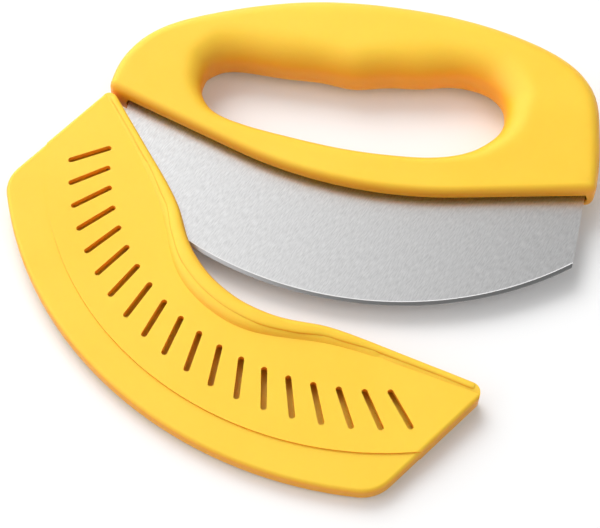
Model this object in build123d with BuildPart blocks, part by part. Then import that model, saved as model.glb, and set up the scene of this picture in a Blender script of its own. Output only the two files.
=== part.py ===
from build123d import *
import os
from math import cos, radians, sin, sqrt, tan

os.makedirs("parts", exist_ok=True)

# Rocking pizza knife, lying on its back with the blade towards -Y.
# The origin is the middle of the grip's flat back, +X runs along the handle and +Z points up.

# Handle
left_reach = 97.3           # from the knife's centre line to the handle's left side
right_reach = 92.5
handle_height = 86.4        # from the middle of the lip to the top of the grip
grip_depth = 34.0           # of the bar that the hand holds, at its middle
grip_thickness = 23.0
lip_thickness = 14.0        # of the web along the lip
lip_radius = 160.0          # of the lip's curved middle
lip_slope = 15.5            # degrees, of the lip's straight ends
web_rise = 15.0             # height above the lip at which the handle starts to thicken
full_rise = 52.0            # height at which it has the grip's thickness
face_blend = 150.0          # radius that softens both bends of the face
handle_wall = 2.2
edge_round = 3.0
left_corner_round = 3.4
right_corner_round = 3.4
curve_steps = 40            # points on each curve of the handle's outline
side_overrun = 4.0          # how far a cutting solid runs past what it cuts
running_gap = 0.05

# Outline of the handle's sides and top, from the right corner round to the left one,
# as shares of the reach on that side and of the handle's height
right_outline_shares = [
    (0.991, 0.394), (0.968, 0.544), (0.930, 0.706), (0.859, 0.817), (0.755, 0.894),
    (0.600, 0.953), (0.345, 0.998), (0.039, 0.995),
]
left_outline_shares = [
    (0.287, 0.936), (0.557, 0.825), (0.741, 0.714), (0.911, 0.556), (0.990, 0.382),
]

# Finger hole
hole_left = 63.5            # from the centre line to the hole's left end
hole_length = 117.0
hole_floor = 16.3           # height of its lowest point above the lip
hole_height = 45.2
hole_round = 6.0
hole_shares = [             # from the left end over the finger grooves and back underneath
    (0.000, 0.414), (0.010, 0.546), (0.051, 0.642), (0.158, 0.697), (0.269, 0.715),
    (0.380, 0.750), (0.482, 0.754), (0.593, 0.847), (0.705, 0.907), (0.807, 0.996),
    (0.901, 0.993), (0.969, 0.889), (1.000, 0.679), (0.991, 0.491), (0.944, 0.314),
    (0.867, 0.166), (0.696, 0.046), (0.500, 0.000), (0.303, 0.009), (0.149, 0.042),
    (0.056, 0.126), (0.013, 0.259),
]

# Blade
blade_half_length = 89.0
blade_thickness = 1.5
blade_drop = 47.6           # from the middle of the lip to the bottom of the edge
edge_radius = 130.0         # of the curve that the knife rocks on
bevel_width = 1.2
edge_thickness = 0.3
tang_height = 8.0           # of the part held inside the handle
slot_gap = 0.5              # between the blade's face and the lip

# Pegs and posts that clamp the tang and close the handle
tang_post_rise = 4.5        # height of the posts above the lip
tang_post_shares = [-0.80, -0.27, 0.27, 0.80]       # of the blade's half length
neck_radius = 2.1           # of the post where it passes through the tang
post_radius = 3.2
peg_radius = 1.2
peg_length = 4.5
tang_hole_gap = 0.2
body_post_shares = [        # of the reach on that side and of the handle's height
    (-0.42, 0.72), (0.00, 0.80), (0.42, 0.85), (-0.84, 0.42), (0.80, 0.48),
]

# Cover, measured from the middle of the line between its two mouth corners
cover_half_width = 94.9
cover_foot_half_width = 93.2
cover_depth = 89.6          # from the mouth corners to the lowest point
outer_radius = 147.0
cover_foot_round = 14.0
mouth_corner_round = 4.0
mouth_depth = 34.8          # of the notch in the middle of the mouth
mouth_slope = 19.1          # degrees, of the mouth's straight ends
step_depth = 77.7           # depth of the step line's lowest point
step_radius = 123.0
plate_half = 3.6            # from the blade's plane to the face of the raised plate
margin_half = 2.9           # and to the face of the lower margin
cover_wall = 2.1
margin_round = 1.5
cavity_half = 1.5           # from the blade's plane to the wall that the blade slides past
mouth_straight_share = 0.545    # of the half width, where the notch begins
mouth_shares = [            # of the half width and of the mouth's depth, down into the notch
    (0.482, 0.494), (0.374, 0.626), (0.303, 0.749), (0.230, 0.862), (0.146, 0.945),
    (0.072, 0.989), (0.000, 1.000),
]

# Rolled rim of the mouth: a round bar sunk in the plate, which rises at the notch
rim_radius = 4.5
rim_shift = 0.7             # of the bar's middle towards the mouth, from the line it is drawn along
rim_end_rise = 0.8          # how far the rim stands above the plate at the ends
rim_notch_rise = 2.4        # and at the notch
rim_end_inset = 1.5         # from the mouth's edge to that line, at the ends
rim_shares = [              # of the half width, the mouth's depth and the extra rise
    (0.843, 0.201, 0.00), (0.613, 0.443, 0.12), (0.429, 0.667, 0.45), (0.289, 0.917, 0.72),
    (0.165, 1.109, 0.95), (0.000, 1.187, 1.00),
]

# Drain slots
slot_count = 19
slot_length = 17.0
slot_width = 2.2
slot_inset = 16.6           # from the step line to the middle of the slots
slot_fan = 94.0             # degrees, between the first slot and the last
slot_slant = 22.0           # degrees

# Ribs and pins inside the cover
rib_width = 1.6
guide_rib_rise = 0.5
guide_rib_inset = 28.0      # from the step line to the guide rib
cover_pin_radius = 1.2
cover_post_radius = 2.8
cover_pin_length = 1.6
cover_pin_inset = 7.0       # from the outer edge
cover_pin_shares = [-0.78, -0.42, 0.0, 0.42, 0.78]  # of the half width

# How the cover sits on the knife, as both are laid down
corner_left = 97.0          # from the knife's centre line to the cover's left mouth corner
corner_rise = 1.35          # of that corner above the lip's line
swing_rest = 29.6           # degrees open

grip_half = grip_thickness / 2
lip_half = lip_thickness / 2
blade_half = blade_thickness / 2
seat_half = blade_half + running_gap
grip_height = handle_height - grip_depth / 2
slope = radians(lip_slope)
knife = Plane((0, -grip_height, grip_half))
knife_side = Plane(knife.origin, x_dir=(0, 1, 0), z_dir=(1, 0, 0))


def lip_height(x, rise=0):
    """Height at x of the curve that runs parallel to the lip, rise above it."""
    radius = lip_radius - rise
    arc_half = radius * sin(slope)
    if abs(x) <= arc_half:
        return lip_radius - sqrt(radius ** 2 - x ** 2)
    return lip_radius - radius * cos(slope) + (abs(x) - arc_half) * tan(slope)


def lip_line(left, right, rise=0):
    """Draws that curve into the open line, from left to right."""
    radius = lip_radius - rise
    arc_half = radius * sin(slope)
    arc_end = lip_height(arc_half, rise)
    Line((-left, lip_height(left, rise)), (-arc_half, arc_end))
    ThreePointArc((-arc_half, arc_end), (0, rise), (arc_half, arc_end))
    Line((arc_half, arc_end), (right, lip_height(right, rise)))


def lip_band(half_length, low, high):
    """The strip between two such curves."""
    with BuildSketch() as band:
        with BuildLine():
            lip_line(half_length, half_length, low)
            lip_line(half_length, half_length, high)
            for x in (-half_length, half_length):
                Line((x, lip_height(x, low)), (x, lip_height(x, high)))
        make_face()
    return band.sketch


# The handle's sides and top, and the edge of its finger hole
right_corner = (right_reach, lip_height(right_reach))
left_corner = (-left_reach, lip_height(left_reach))
side_points = [(right_reach * x, handle_height * y) for x, y in right_outline_shares]
side_points += [(-left_reach * x, handle_height * y) for x, y in left_outline_shares]
hole_points = [(hole_length * x - hole_left, hole_floor + hole_height * y) for x, y in hole_shares]
with BuildLine() as side_curve:
    Spline(right_corner, *side_points, left_corner)
with BuildLine() as hole_curve:
    Spline(*hole_points, periodic=True)


def beside(curve, amount):
    """Points along the curve, moved to its left by amount."""
    points = []
    for step in range(curve_steps):
        along = curve.line % (step / curve_steps)
        points.append(curve.line @ (step / curve_steps) + amount * Vector(-along.Y, along.X))
    return points


def handle_outline(inset):
    """The handle's outline in plan, drawn in by inset."""
    right, left = right_reach - inset, left_reach - inset
    sides = [(right, lip_height(right, inset)), *beside(side_curve, inset)[1:], (-left, lip_height(left, inset))]
    with BuildSketch() as outline:
        with BuildLine():
            lip_line(left, right, inset)
            Spline(*sides)
        make_face()
        fillet(outline.vertices().sort_by(Axis.X)[-1], right_corner_round - inset)
        fillet(outline.vertices().sort_by(Axis.X)[0], left_corner_round - inset)
    return outline.sketch


def finger_hole(outset):
    """The finger hole's outline in plan, grown by outset."""
    with BuildSketch() as hole:
        with BuildLine():
            Spline(*beside(hole_curve, outset), periodic=True)
        make_face()
    return hole.sketch


def handle_side(inset):
    """The handle's thickness from the side, from its middle plane to its face."""
    low, high = -side_overrun, handle_height + side_overrun
    with BuildSketch() as side:
        with BuildLine():
            Polyline(
                (low, 0), (low, lip_half - inset), (web_rise, lip_half - inset),
                (full_rise, grip_half - inset), (high, grip_half - inset), (high, 0), close=True,
            )
        make_face()
        bends = side.vertices().filter_by(lambda v: 0 < v.X < handle_height)
        fillet(bends, face_blend)
    return side.sketch


def face_edges(edges):
    """Those of the edges that lie above the handle's middle plane and bound its face."""
    above = edges.filter_by(lambda edge: edge.bounding_box().min.Z > grip_half + lip_half / 2)
    return above.filter_by(lambda edge: edge.bounding_box().size.Y > running_gap)


def handle_half(inset):
    """Front half of the handle's outer form, or the room inside it, drawn in by inset."""
    with BuildPart() as half:
        with BuildSketch(knife):
            add(handle_outline(inset))
        extrude(amount=grip_half + side_overrun)
        with BuildSketch(knife_side):
            add(handle_side(inset))
        extrude(amount=left_reach + side_overrun, both=True, mode=Mode.INTERSECT)
        fillet(face_edges(half.edges()), edge_round - inset)
        with BuildSketch(knife):
            add(finger_hole(inset))
        extrude(amount=grip_half + side_overrun, mode=Mode.SUBTRACT)
        fillet(face_edges(half.edges(Select.LAST)), hole_round - inset)
    return half.part


def discs(spots, radius):
    """A disc at each spot."""
    with BuildSketch() as group:
        with Locations(*spots):
            Circle(radius)
    return group.sketch


# Where the posts stand
tang_posts = [
    (share * blade_half_length, lip_height(share * blade_half_length, tang_post_rise))
    for share in tang_post_shares
]
body_posts = [
    (x * (right_reach if x > 0 else left_reach), y * handle_height) for x, y in body_post_shares
]

# One half of the handle, hollow, with its posts and its half of the blade's slot
handle_form = handle_half(0)
handle_room = handle_half(handle_wall)
with BuildPart() as room_round_posts:
    add(handle_room)
    with BuildSketch(knife.offset(seat_half)):
        add(discs(tang_posts, post_radius))
    extrude(amount=grip_half, mode=Mode.SUBTRACT)
    with BuildSketch(knife):
        add(discs(body_posts, post_radius))
    extrude(amount=grip_half, mode=Mode.SUBTRACT)
with BuildPart() as handle_blank:
    add(handle_form)
    add(room_round_posts.part, mode=Mode.SUBTRACT)
    with BuildSketch(knife):
        add(lip_band(blade_half_length + slot_gap, -side_overrun, handle_wall + slot_gap))
    extrude(amount=blade_half + slot_gap, mode=Mode.SUBTRACT)

# Handle front shell: its pegs reach into the back shell's posts
with BuildPart() as handle_front_shell:
    add(handle_blank.part)
    with BuildSketch(knife.offset(seat_half)):
        add(discs(tang_posts, peg_radius))
    extrude(amount=-peg_length)
    with BuildSketch(knife):
        add(discs(body_posts, peg_radius))
    extrude(amount=-peg_length)
handle_front_shell.part.label = "handle_front_shell"

# Handle back shell: its necks pass through the tang's holes
with BuildPart() as handle_back_shell:
    mirror(handle_blank.part, about=knife)
    with BuildSketch(knife.offset(-seat_half)):
        add(discs(tang_posts, neck_radius))
    extrude(amount=2 * seat_half)
    with BuildSketch(knife.offset(seat_half)):
        add(discs(tang_posts, peg_radius + running_gap))
    extrude(amount=-peg_length - slot_gap, mode=Mode.SUBTRACT)
    with BuildSketch(knife):
        add(discs(body_posts, peg_radius + running_gap))
    extrude(amount=-peg_length - slot_gap, mode=Mode.SUBTRACT)
handle_back_shell.part.label = "handle_back_shell"

# Blade: a flat plate with its tang, its curved edge ground from both faces
edge_centre = knife.from_local_coords((0, edge_radius - blade_drop, 0))
edge_end = edge_radius - blade_drop - sqrt(edge_radius ** 2 - blade_half_length ** 2)
with BuildPart() as blade:
    with BuildSketch(knife.offset(-blade_half)):
        with BuildLine():
            lip_line(blade_half_length, blade_half_length, tang_height)
            for x in (-blade_half_length, blade_half_length):
                Line((x, lip_height(x, tang_height)), (x, edge_end))
            ThreePointArc((-blade_half_length, edge_end), (0, -blade_drop), (blade_half_length, edge_end))
        make_face()
        with Locations(*tang_posts):
            Circle(neck_radius + tang_hole_gap, mode=Mode.SUBTRACT)
    extrude(amount=blade_thickness)
    with BuildSketch(Plane(edge_centre, x_dir=(1, 0, 0), z_dir=(0, -1, 0))):
        for side in (-1, 1):
            with BuildLine():
                Polyline(
                    (edge_radius - bevel_width, side * blade_half),
                    (edge_radius, side * edge_thickness / 2),
                    (edge_radius + side_overrun, side * edge_thickness / 2),
                    (edge_radius + side_overrun, side * blade_thickness),
                    (edge_radius - bevel_width, side * blade_thickness),
                    close=True,
                )
            make_face()
    revolve(axis=Axis(edge_centre, (0, 0, 1)), mode=Mode.SUBTRACT)
blade.part.label = "blade"

# The cover's plane lies on the blade's, swung open about the left mouth corner
swing = radians(swing_rest)
cover_middle = knife.from_local_coords((
    cover_half_width * cos(swing) - corner_left,
    lip_height(corner_left) + corner_rise - cover_half_width * sin(swing),
    0,
))
cover = Plane(cover_middle, x_dir=(cos(swing), -sin(swing), 0))
outer_centre = outer_radius - cover_depth
step_centre = step_radius - step_depth
mouth_lean = tan(radians(mouth_slope))
beyond = cover_half_width + 2 * side_overrun
beyond_rise = (beyond - cover_half_width) * mouth_lean


def cover_tray(inset):
    """The cover's sides and foot in plan, drawn in by inset and closed above the mouth."""
    radius = outer_radius - inset
    width = cover_half_width - inset
    foot_width = cover_foot_half_width - inset
    foot = outer_centre - sqrt(radius ** 2 - foot_width ** 2)
    top = width - side_overrun * (width - foot_width) / foot
    with BuildSketch() as tray:
        with BuildLine():
            Line((-top, side_overrun), (-foot_width, foot))
            ThreePointArc((-foot_width, foot), (0, inset - cover_depth), (foot_width, foot))
            Line((foot_width, foot), (top, side_overrun))
            Line((top, side_overrun), (-top, side_overrun))
        make_face()
        fillet(tray.vertices().sort_by(Axis.Y)[:2], cover_foot_round - inset)
    return tray.sketch


def cover_outline():
    """The cover's outline in plan, its mouth cut away and the mouth's corners rounded."""
    straight = mouth_straight_share * cover_half_width
    straight_end = (straight - cover_half_width) * mouth_lean
    notch = [(cover_half_width * x, -mouth_depth * y) for x, y in mouth_shares]
    notch += [(-x, y) for x, y in reversed(notch[:-1])]
    with BuildSketch() as outline:
        add(cover_tray(0))
        with BuildSketch(mode=Mode.SUBTRACT):
            with BuildLine():
                Line((beyond, beyond_rise), (straight, straight_end))
                Spline(
                    (straight, straight_end), *notch, (-straight, straight_end),
                    tangents=[(-1, -mouth_lean), (-1, mouth_lean)],
                )
                Line((-straight, straight_end), (-beyond, beyond_rise))
                Line((-beyond, beyond_rise), (-beyond, mouth_depth))
                Line((-beyond, mouth_depth), (beyond, mouth_depth))
                Line((beyond, mouth_depth), (beyond, beyond_rise))
            make_face()
        fillet(outline.vertices().sort_by(Axis.Y)[-2:], mouth_corner_round)
    return outline.sketch


def cover_slab(height):
    """A slab of the cover's tray, rounded along its sides and foot."""
    with BuildPart() as slab:
        with BuildSketch(cover):
            add(cover_tray(0))
        extrude(amount=height)
        top = slab.faces().filter_by(Plane.XY).sort_by(Axis.Z)[-1]
        fillet(top.edges().sort_by(lambda edge: cover.to_local_coords(edge @ (1 / 2)).Y)[:-1], margin_round)
    return slab.part


def ring(outer, inner):
    """A flat ring round the step line's centre."""
    with BuildSketch() as flat:
        with Locations((0, step_centre)):
            Circle(outer)
            Circle(inner, mode=Mode.SUBTRACT)
    return flat.sketch


def rim_point(x, y, share):
    """A point of the rolled rim's middle line."""
    rise = rim_end_rise + share * (rim_notch_rise - rim_end_rise)
    return (x, y, plate_half + rise - rim_radius)


# Middle line of the rolled rim, from beyond the right mouth corner to beyond the left one
rim_points = [
    rim_point(beyond, beyond_rise - rim_end_inset, 0), rim_point(cover_half_width, -rim_end_inset, 0),
]
rim_points += [rim_point(cover_half_width * x, -mouth_depth * y, rise) for x, y, rise in rim_shares]
rim_points += [(-x, y, z) for x, y, z in reversed(rim_points[:-1])]

# Where the cover's pins stand
pin_circle = outer_radius - cover_pin_inset
cover_pins = [
    (share * cover_half_width, outer_centre - sqrt(pin_circle ** 2 - (share * cover_half_width) ** 2))
    for share in cover_pin_shares
]

# One half of the cover: raised plate, lower margin, rolled rim and the pocket
with BuildPart() as cover_form:
    add(cover_slab(plate_half))
    with BuildSketch(cover):
        with Locations((0, step_centre)):
            Circle(step_radius)
    extrude(amount=plate_half, mode=Mode.INTERSECT)
    add(cover_slab(margin_half))
    with BuildLine(cover) as rim_path:
        Spline(*rim_points)
    along = rim_path.line % 0
    with BuildSketch(Plane(rim_path.line @ 0, x_dir=along.cross(cover.z_dir), z_dir=along)):
        with Locations((rim_shift, 0)):
            Circle(rim_radius)
    sweep(path=rim_path.line)
    with BuildSketch(cover):
        add(cover_outline())
    extrude(amount=plate_half + rim_radius, mode=Mode.INTERSECT)
with BuildPart() as cover_room:
    with BuildSketch(cover):
        add(cover_tray(cover_wall))
    extrude(amount=cavity_half)
    with BuildSketch(cover):
        add(ring(step_radius, step_radius - rib_width))
        add(discs(cover_pins, cover_post_radius))
    extrude(amount=cavity_half, mode=Mode.SUBTRACT)
    guide_radius = step_radius - guide_rib_inset
    with BuildSketch(cover.offset(cavity_half - guide_rib_rise)):
        add(ring(guide_radius + rib_width / 2, guide_radius - rib_width / 2))
    extrude(amount=guide_rib_rise, mode=Mode.SUBTRACT)
with BuildPart() as cover_blank:
    add(cover_form.part)
    add(cover_room.part, mode=Mode.SUBTRACT)

# Cover front shell: slanted drain slots, and pins that reach into the back shell
with BuildPart() as cover_front_shell:
    add(cover_blank.part)
    with BuildSketch(cover):
        with Locations((0, step_centre)):
            with PolarLocations(
                step_radius - slot_inset, slot_count, start_angle=-90 - slot_fan / 2,
                angular_range=slot_fan, endpoint=True,
            ):
                SlotOverall(slot_length, slot_width, rotation=slot_slant)
    extrude(amount=plate_half, mode=Mode.SUBTRACT)
    with BuildSketch(cover):
        add(discs(cover_pins, cover_pin_radius))
    extrude(amount=-cover_pin_length)
cover_front_shell.part.label = "cover_front_shell"

# Cover back shell
with BuildPart() as cover_back_shell:
    mirror(cover_blank.part, about=cover)
    with BuildSketch(cover):
        add(discs(cover_pins, cover_pin_radius + running_gap))
    extrude(amount=-cover_pin_length - guide_rib_rise, mode=Mode.SUBTRACT)
cover_back_shell.part.label = "cover_back_shell"

for piece in (handle_front_shell, handle_back_shell, blade, cover_front_shell, cover_back_shell):
    export_step(piece.part, "parts/" + piece.part.label + ".step")
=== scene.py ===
import bpy
import bmesh
import bisect
import math
from mathutils import Matrix, Vector


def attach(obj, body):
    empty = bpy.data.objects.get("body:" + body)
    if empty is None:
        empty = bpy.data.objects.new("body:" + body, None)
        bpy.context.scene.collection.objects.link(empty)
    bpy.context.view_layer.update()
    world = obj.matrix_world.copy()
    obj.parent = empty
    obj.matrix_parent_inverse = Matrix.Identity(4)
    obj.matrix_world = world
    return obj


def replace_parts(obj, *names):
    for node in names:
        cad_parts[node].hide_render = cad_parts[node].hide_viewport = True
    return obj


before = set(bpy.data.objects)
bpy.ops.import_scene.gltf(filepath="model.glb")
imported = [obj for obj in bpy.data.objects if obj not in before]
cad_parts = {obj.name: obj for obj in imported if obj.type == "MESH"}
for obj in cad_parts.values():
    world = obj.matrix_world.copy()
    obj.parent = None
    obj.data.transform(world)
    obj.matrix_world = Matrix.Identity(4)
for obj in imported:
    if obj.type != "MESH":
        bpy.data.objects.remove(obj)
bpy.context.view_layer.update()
mm = 0.001

cameraSetup = {
    "target": (-8.18, -104.9, 11.5),    # on the blade's plane, in mm
    "distance": 661.7,
    "turn": 10.6,                       # degrees round from straight in front of the edge
    "height": 58.1,
    "roll": 3.2,
    "lens": 108.48,
    "sensor": 36,
    "farClip": 20,                      # in metres
}


def addCamera(setup):
    turn = Matrix.Rotation(math.radians(setup["turn"]), 4, "Z")
    tilt = Matrix.Rotation(math.radians(90 - setup["height"]), 4, "X")
    roll = Matrix.Rotation(math.radians(setup["roll"]), 4, "Z")
    back = turn @ tilt @ Vector((0, 0, setup["distance"] * mm))
    camera = bpy.data.objects.new("camera", bpy.data.cameras.new("camera"))
    camera.data.lens = setup["lens"]
    camera.data.sensor_width = setup["sensor"]
    camera.data.clip_end = setup["farClip"]
    camera.matrix_world = Matrix.Translation(Vector(setup["target"]) * mm + back) @ turn @ tilt @ roll
    bpy.context.scene.collection.objects.link(camera)
    bpy.context.scene.camera = camera


addCamera(cameraSetup)
print("camera placed")


def newMaterial(name):
    material = bpy.data.materials.new(name)
    material.use_nodes = True
    tree = material.node_tree
    return material, tree, tree.nodes["Principled BSDF"]


# Grain that both finishes use: noise on the piece's own coordinates, its cells sized and turned
def makeGrainGroup():
    group = bpy.data.node_groups.new("surfaceGrain", "ShaderNodeTree")
    for name, kind in (("Cell Size", "Vector"), ("Turn", "Vector"), ("Detail", "Float")):
        group.interface.new_socket(name, in_out="INPUT", socket_type="NodeSocket" + kind)
    group.interface.new_socket("Mask", in_out="OUTPUT", socket_type="NodeSocketFloat")
    given = group.nodes.new("NodeGroupInput")
    result = group.nodes.new("NodeGroupOutput")
    place = group.nodes.new("ShaderNodeTexCoord")
    stretch = group.nodes.new("ShaderNodeMapping")
    stretch.vector_type = "TEXTURE"
    noise = group.nodes.new("ShaderNodeTexNoise")
    noise.inputs["Scale"].default_value = 1
    group.links.new(place.outputs["Object"], stretch.inputs["Vector"])
    group.links.new(given.outputs["Cell Size"], stretch.inputs["Scale"])
    group.links.new(given.outputs["Turn"], stretch.inputs["Rotation"])
    group.links.new(given.outputs["Detail"], noise.inputs["Detail"])
    group.links.new(stretch.outputs["Vector"], noise.inputs["Vector"])
    group.links.new(noise.outputs["Fac"], result.inputs["Mask"])
    return group


grainGroup = makeGrainGroup()


# Puts that grain in a material, with so many cells to the metre each way
def addGrain(tree, cells, detail, lean=0):
    grain = tree.nodes.new("ShaderNodeGroup")
    grain.node_tree = grainGroup
    grain.inputs["Cell Size"].default_value = [1 / count for count in cells]
    grain.inputs["Turn"].default_value = (0, 0, math.radians(-lean))
    grain.inputs["Detail"].default_value = detail
    return grain.outputs["Mask"]


# Spreads a mask between two values, over the stretch where it changes
def addSpread(tree, mask, low, high, edges=(0.3, 0.7)):
    spread = tree.nodes.new("ShaderNodeMapRange")
    spread.inputs["From Min"].default_value = edges[0]
    spread.inputs["From Max"].default_value = edges[1]
    spread.inputs["To Min"].default_value = low
    spread.inputs["To Max"].default_value = high
    tree.links.new(mask, spread.inputs["Value"])
    return spread.outputs["Result"]


# Mixes two colours by a mask
def addMix(tree, mask, first, second):
    mix = tree.nodes.new("ShaderNodeMix")
    mix.data_type = "RGBA"
    for socket, colour in (("A", first), ("B", second)):
        target = [entry for entry in mix.inputs if entry.name == socket and entry.type == "RGBA"][0]
        if isinstance(colour, tuple):
            target.default_value = colour
        else:
            tree.links.new(colour, target)
    tree.links.new(mask, mix.inputs["Factor"])
    return [entry for entry in mix.outputs if entry.type == "RGBA"][0]


def addBump(tree, shader, height, distance):
    bump = tree.nodes.new("ShaderNodeBump")
    bump.inputs["Distance"].default_value = distance
    tree.links.new(height, bump.inputs["Height"])
    tree.links.new(bump.outputs["Normal"], shader.inputs["Normal"])


floorSetup = {
    "size": 6.0,                        # in metres
    "contact": (0, -15.0, 0.0),         # under the grip, in mm
    "tilt": -2.5,                       # degrees down towards the grip
    "colour": (0.86, 0.86, 0.86, 1),
    "roughness": 0.9,
    "shine": 0.1,
    "lift": 0.08,                       # a glow that only the camera sees
}


def addFloor(setup):
    work = bmesh.new()
    bmesh.ops.create_grid(work, x_segments=1, y_segments=1, size=setup["size"] / 2)
    bmesh.ops.rotate(work, verts=work.verts, matrix=Matrix.Rotation(math.radians(setup["tilt"]), 3, "X"))
    bmesh.ops.translate(work, verts=work.verts, vec=Vector(setup["contact"]) * mm)
    mesh = bpy.data.meshes.new("floor")
    work.to_mesh(mesh)
    work.free()
    floor = bpy.data.objects.new("floor", mesh)
    bpy.context.scene.collection.objects.link(floor)
    material, tree, shader = newMaterial("paleFloor")
    shader.inputs["Base Color"].default_value = setup["colour"]
    shader.inputs["Roughness"].default_value = setup["roughness"]
    shader.inputs["Specular IOR Level"].default_value = setup["shine"]
    shader.inputs["Emission Color"].default_value = (1, 1, 1, 1)
    path = tree.nodes.new("ShaderNodeLightPath")
    lift = tree.nodes.new("ShaderNodeMath")
    lift.operation = "MULTIPLY"
    lift.inputs[1].default_value = setup["lift"]
    tree.links.new(path.outputs["Is Camera Ray"], lift.inputs[0])
    tree.links.new(lift.outputs[0], shader.inputs["Emission Strength"])
    mesh.materials.append(material)


addFloor(floorSetup)
print("floor laid")

lightSetup = {
    "bright": (-0.93, 0.25, 0.27),      # the side of the studio that is lit
    "dim": 0.26,                        # strength of the far side
    "full": 1.62,                       # and of the lit side
    "edges": (0.29, 0.64),              # where one turns into the other, by cosine from that side
    "lamps": [
        # name, place and size in metres, power in watts
        ("keyLamp", (-0.55, 0.55, 0.95), 0.9, 7.5),
        ("fillLamp", (0.7, -0.5, 1.1), 1.0, 3.0),
    ],
    "aim": (0, -0.08, 0),
}


def addLight(setup):
    world = bpy.data.worlds.new("paleStudio")
    bpy.context.scene.world = world
    world.use_nodes = True
    tree = world.node_tree
    background = tree.nodes["Background"]
    place = tree.nodes.new("ShaderNodeTexCoord")
    towards = tree.nodes.new("ShaderNodeVectorMath")
    towards.operation = "DOT_PRODUCT"
    towards.inputs[1].default_value = setup["bright"]
    tree.links.new(place.outputs["Generated"], towards.inputs[0])
    studio = addSpread(tree, towards.outputs["Value"], setup["dim"], setup["full"], setup["edges"])
    path = tree.nodes.new("ShaderNodeLightPath")
    strength = tree.nodes.new("ShaderNodeMapRange")
    strength.inputs["To Max"].default_value = 1.0
    tree.links.new(studio, strength.inputs["To Min"])
    tree.links.new(path.outputs["Is Camera Ray"], strength.inputs["Value"])
    tree.links.new(strength.outputs["Result"], background.inputs["Strength"])
    background.inputs["Color"].default_value = (1, 1, 1, 1)
    for name, spot, size, power in setup["lamps"]:
        lamp = bpy.data.objects.new(name, bpy.data.lights.new(name, "AREA"))
        lamp.data.shape = "DISK"
        lamp.data.size = size
        lamp.data.energy = power
        lamp.location = spot
        lamp.visible_glossy = False     # the steel mirrors the studio alone
        lamp.rotation_euler = (Vector(setup["aim"]) - Vector(spot)).to_track_quat("-Z", "Y").to_euler()
        bpy.context.scene.collection.objects.link(lamp)


addLight(lightSetup)
bpy.context.scene.view_settings.view_transform = "Standard"
print("lights set")

# Matt yellow plastic, a little see-through, with the fine texture of its mould, and painted shade: a deeper
# orange where its walls turn away from the flat faces
plastic = {
    "colour": (1.0, 0.63, 0.050, 1),
    "cloudy": (1.0, 0.60, 0.040, 1),
    "paintedShade": (1.0, 0.40, 0.014, 1),      # painted shade: the deeper orange where the wall turns away from the flat faces
    "paintedShadeTurn": (0.25, 0.97),             # how flat it lies where the painted shade is full, and where there is none
    "cloud": {"cells": (26, 26, 26), "detail": 2},
    "pores": {"cells": (2600, 2600, 2600), "detail": 1},
    "poreDepth": 0.03,                  # in mm
    "roughness": (0.40, 0.50),
    "glow": 0.25,
    "glowRadius": (3.0, 1.2, 0.3),      # of red, green and blue light, in mm
}


def makePlastic(setup):
    material, tree, shader = newMaterial("yellowPlastic")
    cloud = addSpread(tree, addGrain(tree, **setup["cloud"]), 0, 1)
    pores = addGrain(tree, **setup["pores"])
    place = tree.nodes.new("ShaderNodeTexCoord")
    parts = tree.nodes.new("ShaderNodeSeparateXYZ")
    tree.links.new(place.outputs["Normal"], parts.inputs["Vector"])
    flat = tree.nodes.new("ShaderNodeMath")
    flat.operation = "ABSOLUTE"
    tree.links.new(parts.outputs["Z"], flat.inputs[0])
    # painted shade: faces that turn away from flat take the deeper orange
    paintedShadeTurn = addSpread(tree, flat.outputs[0], 1, 0, setup["paintedShadeTurn"])
    face = addMix(tree, cloud, setup["colour"], setup["cloudy"])
    tree.links.new(addMix(tree, paintedShadeTurn, face, setup["paintedShade"]), shader.inputs["Base Color"])
    tree.links.new(addSpread(tree, pores, *setup["roughness"]), shader.inputs["Roughness"])
    addBump(tree, shader, pores, setup["poreDepth"] * mm)
    shader.inputs["Subsurface Weight"].default_value = setup["glow"]
    shader.inputs["Subsurface Radius"].default_value = Vector(setup["glowRadius"]) * mm
    shader.inputs["Subsurface Scale"].default_value = 1
    return material


yellowPlastic = makePlastic(plastic)

# Satin steel, its short grain running from the lip to the edge, with painted shade on its bevel and a
# painted highlight where the bevel starts; lengths in mm
steel = {
    "light": (0.87, 0.87, 0.87, 1),
    "dark": (0.68, 0.68, 0.68, 1),
    "ground": (0.50, 0.50, 0.50, 1),    # painted shade on the bevel
    "paintedGlint": (0.86, 0.86, 0.86, 1),      # painted highlight: the bright line where the bevel starts
    "grain": {"cells": (2200, 380, 2200), "detail": 3, "lean": 18},
    "grainDepth": 0.012,
    "speckle": {"cells": (900, 500, 900), "detail": 2},
    "roughness": (0.28, 0.40),
    "rockCentre": (0, 13.0, 11.5),      # of the arc that the edge follows
    "bevelStart": 128.8,                # from that centre
    "paintedGlintHalf": 0.16,                   # half the painted highlight's width
}


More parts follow.
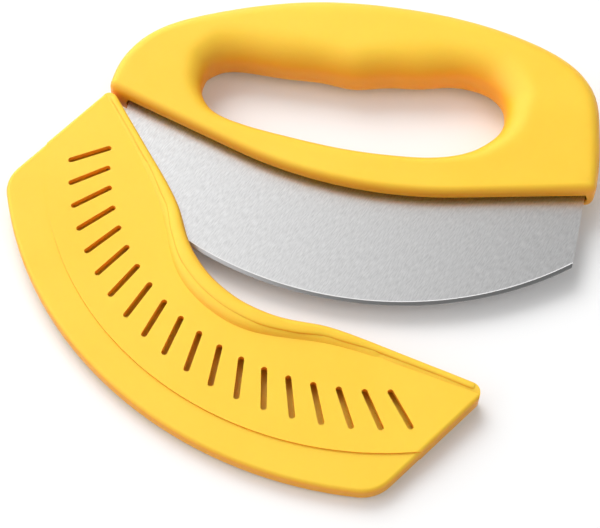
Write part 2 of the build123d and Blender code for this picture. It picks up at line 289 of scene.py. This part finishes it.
def makeSteel(setup):
    material, tree, shader = newMaterial("brushedSteel")
    grain = addGrain(tree, **setup["grain"])
    speckle = addGrain(tree, **setup["speckle"])
    place = tree.nodes.new("ShaderNodeTexCoord")
    reach = tree.nodes.new("ShaderNodeVectorMath")
    reach.operation = "DISTANCE"
    reach.inputs[1].default_value = Vector(setup["rockCentre"]) * mm
    tree.links.new(place.outputs["Object"], reach.inputs[0])
    start, half = setup["bevelStart"] * mm, setup["paintedGlintHalf"] * mm
    # painted shade: the bevel is given a darker colour
    bevel = addSpread(tree, reach.outputs["Value"], 0, 1, (start, start + half))
    # painted highlight: a bright, non-metallic line where the bevel starts
    paintedGlint = tree.nodes.new("ShaderNodeMath")
    paintedGlint.operation = "COMPARE"
    paintedGlint.inputs[1].default_value = start - half
    paintedGlint.inputs[2].default_value = half
    tree.links.new(reach.outputs["Value"], paintedGlint.inputs[0])
    face = addMix(tree, addSpread(tree, grain, 0, 1), setup["dark"], setup["light"])
    face = addMix(tree, bevel, face, setup["ground"])
    tree.links.new(addMix(tree, paintedGlint.outputs[0], face, setup["paintedGlint"]), shader.inputs["Base Color"])
    tree.links.new(addSpread(tree, paintedGlint.outputs[0], 1, 0, (0, 1)), shader.inputs["Metallic"])
    tree.links.new(addSpread(tree, speckle, *setup["roughness"]), shader.inputs["Roughness"])
    addBump(tree, shader, grain, setup["grainDepth"] * mm)
    return material


brushedSteel = makeSteel(steel)

finishes = {
    "handle_front_shell": yellowPlastic,
    "handle_back_shell": yellowPlastic,
    "cover_front_shell": yellowPlastic,
    "cover_back_shell": yellowPlastic,
    "blade": brushedSteel,
}
for node, material in finishes.items():
    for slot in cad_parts[node].material_slots:
        slot.material = material
print("finishes given")

# The handle's two halves, with the grip rounded for the fingers; places in mm from the lip's middle
handle = {
    "middle": (0, -69.4, 11.5),
    "leftReach": 97.3,
    "rightReach": 92.5,
    "height": 86.4,
    "lipRadius": 160.0,
    "lipSlope": 15.5,
    "cornerRound": 3.4,
    "sides": [                          # shares of the reach and the height, from right to left
        (0.991, 0.394), (0.968, 0.544), (0.930, 0.706), (0.859, 0.817), (0.755, 0.894),
        (0.600, 0.953), (0.345, 0.998), (0.039, 0.995),
        (-0.287, 0.936), (-0.557, 0.825), (-0.741, 0.714), (-0.911, 0.556), (-0.990, 0.382),
    ],
    "holeLeft": 63.5,
    "holeFloor": 16.3,
    "holeSize": (117.0, 45.2),
    "hole": [                           # from its left end underneath, then back over the finger grooves
        (0.000, 0.414), (0.013, 0.259), (0.056, 0.126), (0.149, 0.042), (0.303, 0.009),
        (0.500, 0.000), (0.696, 0.046), (0.867, 0.166), (0.944, 0.314), (0.991, 0.491),
        (1.000, 0.679), (0.969, 0.889), (0.901, 0.993), (0.807, 0.996), (0.705, 0.907),
        (0.593, 0.847), (0.482, 0.754), (0.380, 0.750), (0.269, 0.715), (0.158, 0.697),
        (0.051, 0.642), (0.010, 0.546),
    ],
    "holeTurn": 10,                     # which of those is the right end
    # shares of the lip's length, then of the sides' length, and the share of the hole's edge they face
    "lipFaces": [
        (0.00, 0.00), (0.13, 0.08), (0.26, 0.19), (0.365, 0.317), (0.486, 0.48), (0.607, 0.644),
        (0.73, 0.79), (0.83, 0.87), (1.00, 1.00),
    ],
    "sideFaces": [
        (0.00, 0.00), (0.17, 0.076), (0.30, 0.146), (0.39, 0.229), (0.495, 0.424), (0.64, 0.714),
        (0.70, 0.811), (0.775, 0.906), (1.00, 1.00),
    ],
    "lipPoints": 200,                   # on the lip's line before it is divided into lipSteps
    "spanSteps": 16,                    # between two points of the sides or of the hole
    "lipSteps": 190,
    "sideSteps": 150,
    "cornerSteps": 6,
    "roundSteps": 9,
    "faceSteps": 12,
    "thin": 7.0,                        # half thickness along the lip
    "thick": 11.5,                      # and along the grip
    "thinEnd": 15.0,                    # height at which the handle starts to thicken
    "thickStart": 52.0,                 # and at which it is thick
    "bend": 9.1,                        # half the stretch that softens each bend of the face
    "slotHalf": 2.9,                    # from the blade's middle to the slot's side
    "slotDepth": 9.3,
    "slotReach": 89.4,                  # from the middle to either end of the slot
    # share of the way round, then width and depth of the rounding there
    "frontRound": [
        (0.00, 2.8, 3.6), (0.49, 2.8, 3.6), (0.54, 3.0, 3.4), (0.58, 5.0, 4.4), (0.68, 7.0, 5.6),
        (0.88, 7.0, 5.6), (0.95, 4.5, 4.4), (1.00, 2.8, 3.6),
    ],
    "backRound": [
        (0.00, 3.4, 5.2), (0.54, 3.4, 5.2), (0.58, 5.0, 5.4), (0.68, 7.0, 6.0), (0.88, 7.0, 6.0),
        (0.95, 4.5, 5.8), (1.00, 3.4, 5.2),
    ],
    "holeRound": [
        (0.00, 8.0, 7.5), (0.08, 6.0, 6.0), (0.15, 5.0, 5.4), (0.38, 5.2, 5.6), (0.46, 7.5, 7.2),
        (0.55, 9.5, 8.8), (0.61, 12.0, 10.4), (0.67, 12.6, 10.5), (0.71, 11.4, 10.3), (0.75, 12.6, 10.5),
        (0.79, 11.4, 10.3), (0.83, 12.8, 10.5), (0.89, 12.5, 10.4), (0.95, 10.0, 9.0), (1.00, 8.0, 7.5),
    ],
}

settleRounds = 60                       # after which a smooth line's slopes hold still


# A smooth line through the points, with steps points on each span
def smoothLine(points, closed, steps):
    count = len(points)
    spans = count if closed else count - 1
    runs = [(points[(i + 1) % count] - points[i]).length for i in range(spans)]
    slopes = [Vector((0, 0)) for point in points]
    for settle in range(settleRounds):
        for i in range(count):
            pull, weight = Vector((0, 0)), 0
            if closed or i > 0:
                pull += 3 * (points[i] - points[i - 1]) / runs[i - 1] ** 2 - slopes[i - 1] / runs[i - 1]
                weight += 2 / runs[i - 1]
            if i < spans:
                after = (i + 1) % count
                pull += 3 * (points[after] - points[i]) / runs[i] ** 2 - slopes[after] / runs[i]
                weight += 2 / runs[i]
            slopes[i] = pull / weight
    line = []
    for i in range(spans):
        after = (i + 1) % count
        for step in range(steps):
            t = step / steps
            line.append(
                points[i] * (2 * t ** 3 - 3 * t ** 2 + 1) + slopes[i] * runs[i] * (t ** 3 - 2 * t ** 2 + t)
                + points[after] * (3 * t ** 2 - 2 * t ** 3) + slopes[after] * runs[i] * (t ** 3 - t ** 2)
            )
    return line + [points[0] if closed else points[-1]]


# What the table gives for a share, on straight runs between its rows or on eased ones
def lookUp(table, share, ease=False):
    for first, second in zip(table, table[1:]):
        if share <= second[0]:
            t = (share - first[0]) / (second[0] - first[0])
            t = t * t * (3 - 2 * t) if ease else t
            return [low + (high - low) * t for low, high in zip(first[1:], second[1:])]
    return list(table[-1][1:])


# Points spaced along the line as the table says, trim short of either end
def spacedPoints(line, trim, steps, table=((0, 0), (1, 1))):
    lengths = [0]
    for first, second in zip(line, line[1:]):
        lengths.append(lengths[-1] + (second - first).length)
    points = []
    for step in range(steps + 1):
        goal = trim + (lengths[-1] - 2 * trim) * lookUp(table, step / steps)[0]
        place = min(max(bisect.bisect(lengths, goal) - 1, 0), len(line) - 2)
        share = (goal - lengths[place]) / (lengths[place + 1] - lengths[place])
        points.append(line[place].lerp(line[place + 1], share))
    return points


# Points round a corner, between the two lines' trimmed ends
def cornerPoints(start, corner, end, steps):
    points = []
    for step in range(1, steps):
        t = step / steps
        points.append(start * (1 - t) ** 2 + corner * 2 * t * (1 - t) + end * t ** 2)
    return points


def lipHeight(setup, x):
    slope = math.radians(setup["lipSlope"])
    arcHalf = setup["lipRadius"] * math.sin(slope)
    if abs(x) <= arcHalf:
        return setup["lipRadius"] - math.sqrt(setup["lipRadius"] ** 2 - x ** 2)
    return setup["lipRadius"] * (1 - math.cos(slope)) + (abs(x) - arcHalf) * math.tan(slope)


# Loops of the handle's outer edge and of its hole, with a point of one facing each point of the other
def handleLoops(setup):
    left, right = -setup["leftReach"], setup["rightReach"]
    count = setup["lipPoints"]
    lip = [Vector((left + (right - left) * step / count, 0)) for step in range(count + 1)]
    for point in lip:
        point.y = lipHeight(setup, point.x)
    sides = [Vector(((-left if x < 0 else right) * x, setup["height"] * y)) for x, y in setup["sides"]]
    sides = smoothLine([lip[-1], *sides, lip[0]], False, setup["spanSteps"])
    trim = setup["cornerRound"] / math.tan(math.radians(90 + setup["lipSlope"]) / 2)
    lower = spacedPoints(lip, trim, setup["lipSteps"])
    upper = spacedPoints(sides, trim, setup["sideSteps"])
    lowerTurn = cornerPoints(lower[-1], lip[-1], upper[0], setup["cornerSteps"])
    upperTurn = cornerPoints(upper[-1], lip[0], lower[0], setup["cornerSteps"])
    outer = lower + lowerTurn + upper + upperTurn
    wide, high = setup["holeSize"]
    hole = [Vector((wide * x - setup["holeLeft"], setup["holeFloor"] + high * y)) for x, y in setup["hole"]]
    hole = smoothLine(hole, True, setup["spanSteps"])
    turn = setup["holeTurn"] * setup["spanSteps"]
    under = spacedPoints(hole[:turn + 1], 0, len(lower + lowerTurn), setup["lipFaces"])
    over = spacedPoints(hole[turn:], 0, len(upper + upperTurn), setup["sideFaces"])
    return outer, under[:-1] + over[:-1]


# How far the face stands from the blade's plane, both bends of its slope softened
def faceHeight(setup, y):
    def area(reach):
        climb = min(max(reach, setup["thinEnd"]), setup["thickStart"]) - setup["thinEnd"]
        gain = setup["thick"] - setup["thin"]
        ramp = setup["thickStart"] - setup["thinEnd"]
        beyond = max(reach - setup["thickStart"], 0)
        return setup["thin"] * reach + gain * climb ** 2 / (2 * ramp) + gain * beyond
    return (area(y + setup["bend"]) - area(y - setup["bend"])) / (2 * setup["bend"])


# Rings of points from the hole over the face to the outer edge and back along the middle plane
def handleRings(setup, edgeRound):
    outer, hole = handleLoops(setup)
    count = len(outer)
    rings = []
    for i in range(count):
        outerRun = (outer[(i + 1) % count] - outer[i - 1]).normalized()
        holeRun = (hole[(i + 1) % count] - hole[i - 1]).normalized()
        inward, onward = Vector((-outerRun.y, outerRun.x)), Vector((holeRun.y, -holeRun.x))
        ring = [(hole[i], 0)]
        for table, edge, way in (("holeRound", hole[i], onward), (edgeRound, outer[i], inward)):
            width, depth = lookUp(setup[table], i / count, ease=True)
            bend = []
            for step in range(setup["roundSteps"] + 1):
                angle = math.pi / 2 * step / setup["roundSteps"]
                spot = edge + way * width * (1 - math.cos(angle))
                bend.append((spot, faceHeight(setup, spot.y) - depth * (1 - math.sin(angle))))
            if table == "holeRound":
                ring += bend
                inner = bend[-1][0]
            else:
                for step in range(1, setup["faceSteps"]):
                    spot = inner.lerp(bend[-1][0], step / setup["faceSteps"])
                    ring.append((spot, faceHeight(setup, spot.y)))
                ring += reversed(bend)
        slotted = i <= setup["lipSteps"] and abs(outer[i].x) < setup["slotReach"]
        lift = setup["slotHalf"] if slotted else 0
        tangEnd = outer[i] + inward * (setup["slotDepth"] if slotted else 0)
        ring += [(outer[i], lift), (tangEnd, lift), (tangEnd, 0), (hole[i], 0)]
        rings.append(ring)
    return rings + [rings[0]]


skin = {
    "merge": 0.002,                     # points closer than this are one, in mm
    "sharp": 40,                        # degrees, from which an edge shows as sharp
}


# A closed plastic piece skinned over rings of places in mm
def addSkin(name, rings, body):
    work = bmesh.new()
    bmesh.ops.create_grid(work, x_segments=len(rings[0]) - 1, y_segments=len(rings) - 1, size=1)
    for vert, spot in zip(work.verts, [spot for ring in rings for spot in ring]):
        vert.co = spot * mm
    bmesh.ops.remove_doubles(work, verts=work.verts, dist=skin["merge"] * mm)
    bmesh.ops.recalc_face_normals(work, faces=work.faces)
    mesh = bpy.data.meshes.new(name)
    work.to_mesh(mesh)
    work.free()
    mesh.shade_smooth()
    mesh.set_sharp_from_angle(angle=math.radians(skin["sharp"]))
    mesh.materials.append(yellowPlastic)
    piece = bpy.data.objects.new(name, mesh)
    bpy.context.scene.collection.objects.link(piece)
    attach(piece, body)
    return piece


def addHandleHalf(setup, name, side, edgeRound):
    middle = Vector(setup["middle"])
    rings = [
        [middle + Vector((spot.x, spot.y, side * height)) for spot, height in ring]
        for ring in handleRings(setup, edgeRound)
    ]
    return addSkin(name, rings, "knife")


# The back half has a thinner lip, and takes less of the slot
backHandle = {**handle, "thin": 5.5, "slotHalf": 1.9}
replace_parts(addHandleHalf(handle, "handleFrontHalf", 1, "frontRound"), "handle_front_shell")
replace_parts(addHandleHalf(backHandle, "handleBackHalf", -1, "backRound"), "handle_back_shell")
print("handle halves shaped")

# The roll along the cover's mouth, on the front and the back; places in mm from the middle of the mouth
mouthRoll = {
    "middle": (-14.485, -94.063, 11.5),
    "swing": 29.6,                      # degrees that the cover is swung open
    "halfLine": [                       # the mouth's edge, from near the right corner to the middle
        (91.4, -1.21), (80.0, -5.16), (66.0, -10.01), (51.7, -14.96), (45.7, -17.2), (35.5, -21.8),
        (28.8, -26.1), (21.8, -30.0), (13.9, -32.9), (6.8, -34.4), (0.0, -34.8),
    ],
    "spanSteps": 16,                    # between two points of that line
    "steps": 170,                       # along the whole roll
    "roundSteps": 14,
    "fullness": 0.8,                    # of its round top, from 1, plain, towards 0, square
    "reach": 94.9,                      # half the mouth's width
    "rise": [                           # how much of the notch's swelling there is, by share of the reach
        (0.000, 1.00), (0.165, 0.95), (0.289, 0.72), (0.429, 0.45), (0.613, 0.12), (0.843, 0.00),
        (1.000, 0.00),
    ],
    # at the ends, and what the notch adds: the roll's width, and heights over the blade's plane
    "width": (2.5, 3.9),
    "crest": (4.85, 2.05),
    "outerFoot": (4.05, -0.85),
    "innerFoot": (3.9, 1.8),
    "sunk": 2.4,                        # height of its underside, inside the cover's wall
    "taper": 2.2,                       # length of the rounded ends
    "edgeGap": 0.06,                    # from the mouth's edge
}


def rollRings(setup, side):
    half = [Vector(point) for point in setup["halfLine"]]
    whole = half + [Vector((-point.x, point.y)) for point in reversed(half[:-1])]
    line = spacedPoints(smoothLine(whole, False, setup["spanSteps"]), 0, setup["steps"])
    swing = math.radians(setup["swing"])
    along = Vector((math.cos(swing), -math.sin(swing), 0))
    across = Vector((math.sin(swing), math.cos(swing), 0))
    rings = []
    for i, point in enumerate(line):
        run = (line[min(i + 1, setup["steps"])] - line[max(i - 1, 0)]).normalized()
        inward = Vector((-run.y, run.x))
        swell = lookUp(setup["rise"], abs(point.x) / setup["reach"], ease=True)[0]
        shape = [setup[key] for key in ("width", "crest", "outerFoot", "innerFoot")]
        width, crest, outerFoot, innerFoot = (base + more * swell for base, more in shape)
        toEnd = min((point - line[0]).length, (point - line[-1]).length) / setup["taper"]
        full = math.sqrt(1 - (1 - min(toEnd, 1)) ** 2)
        ring = []
        for step in range(setup["roundSteps"] + 1):
            angle = math.pi * step / setup["roundSteps"]
            share = (1 - math.cos(angle)) / 2
            foot = outerFoot + (innerFoot - outerFoot) * share
            swelling = math.sin(angle) ** setup["fullness"]
            ring.append((setup["edgeGap"] + width * share, foot + (crest - foot) * swelling))
        ring += [(setup["edgeGap"] + width, setup["sunk"]), (setup["edgeGap"], setup["sunk"])]
        places = []
        for depth, height in ring + ring[:1]:
            spot = point + inward * (width / 2 + (depth - width / 2) * full)
            height = side * (setup["sunk"] + (height - setup["sunk"]) * full)
            spot = along * spot.x + across * spot.y + Vector((0, 0, height))
            places.append(Vector(setup["middle"]) + spot)
        rings.append(places)
    return rings


for name, side in (("coverFrontRoll", 1), ("coverBackRoll", -1)):
    addSkin(name, rollRings(mouthRoll, side), "cover")
print("mouth roll laid")
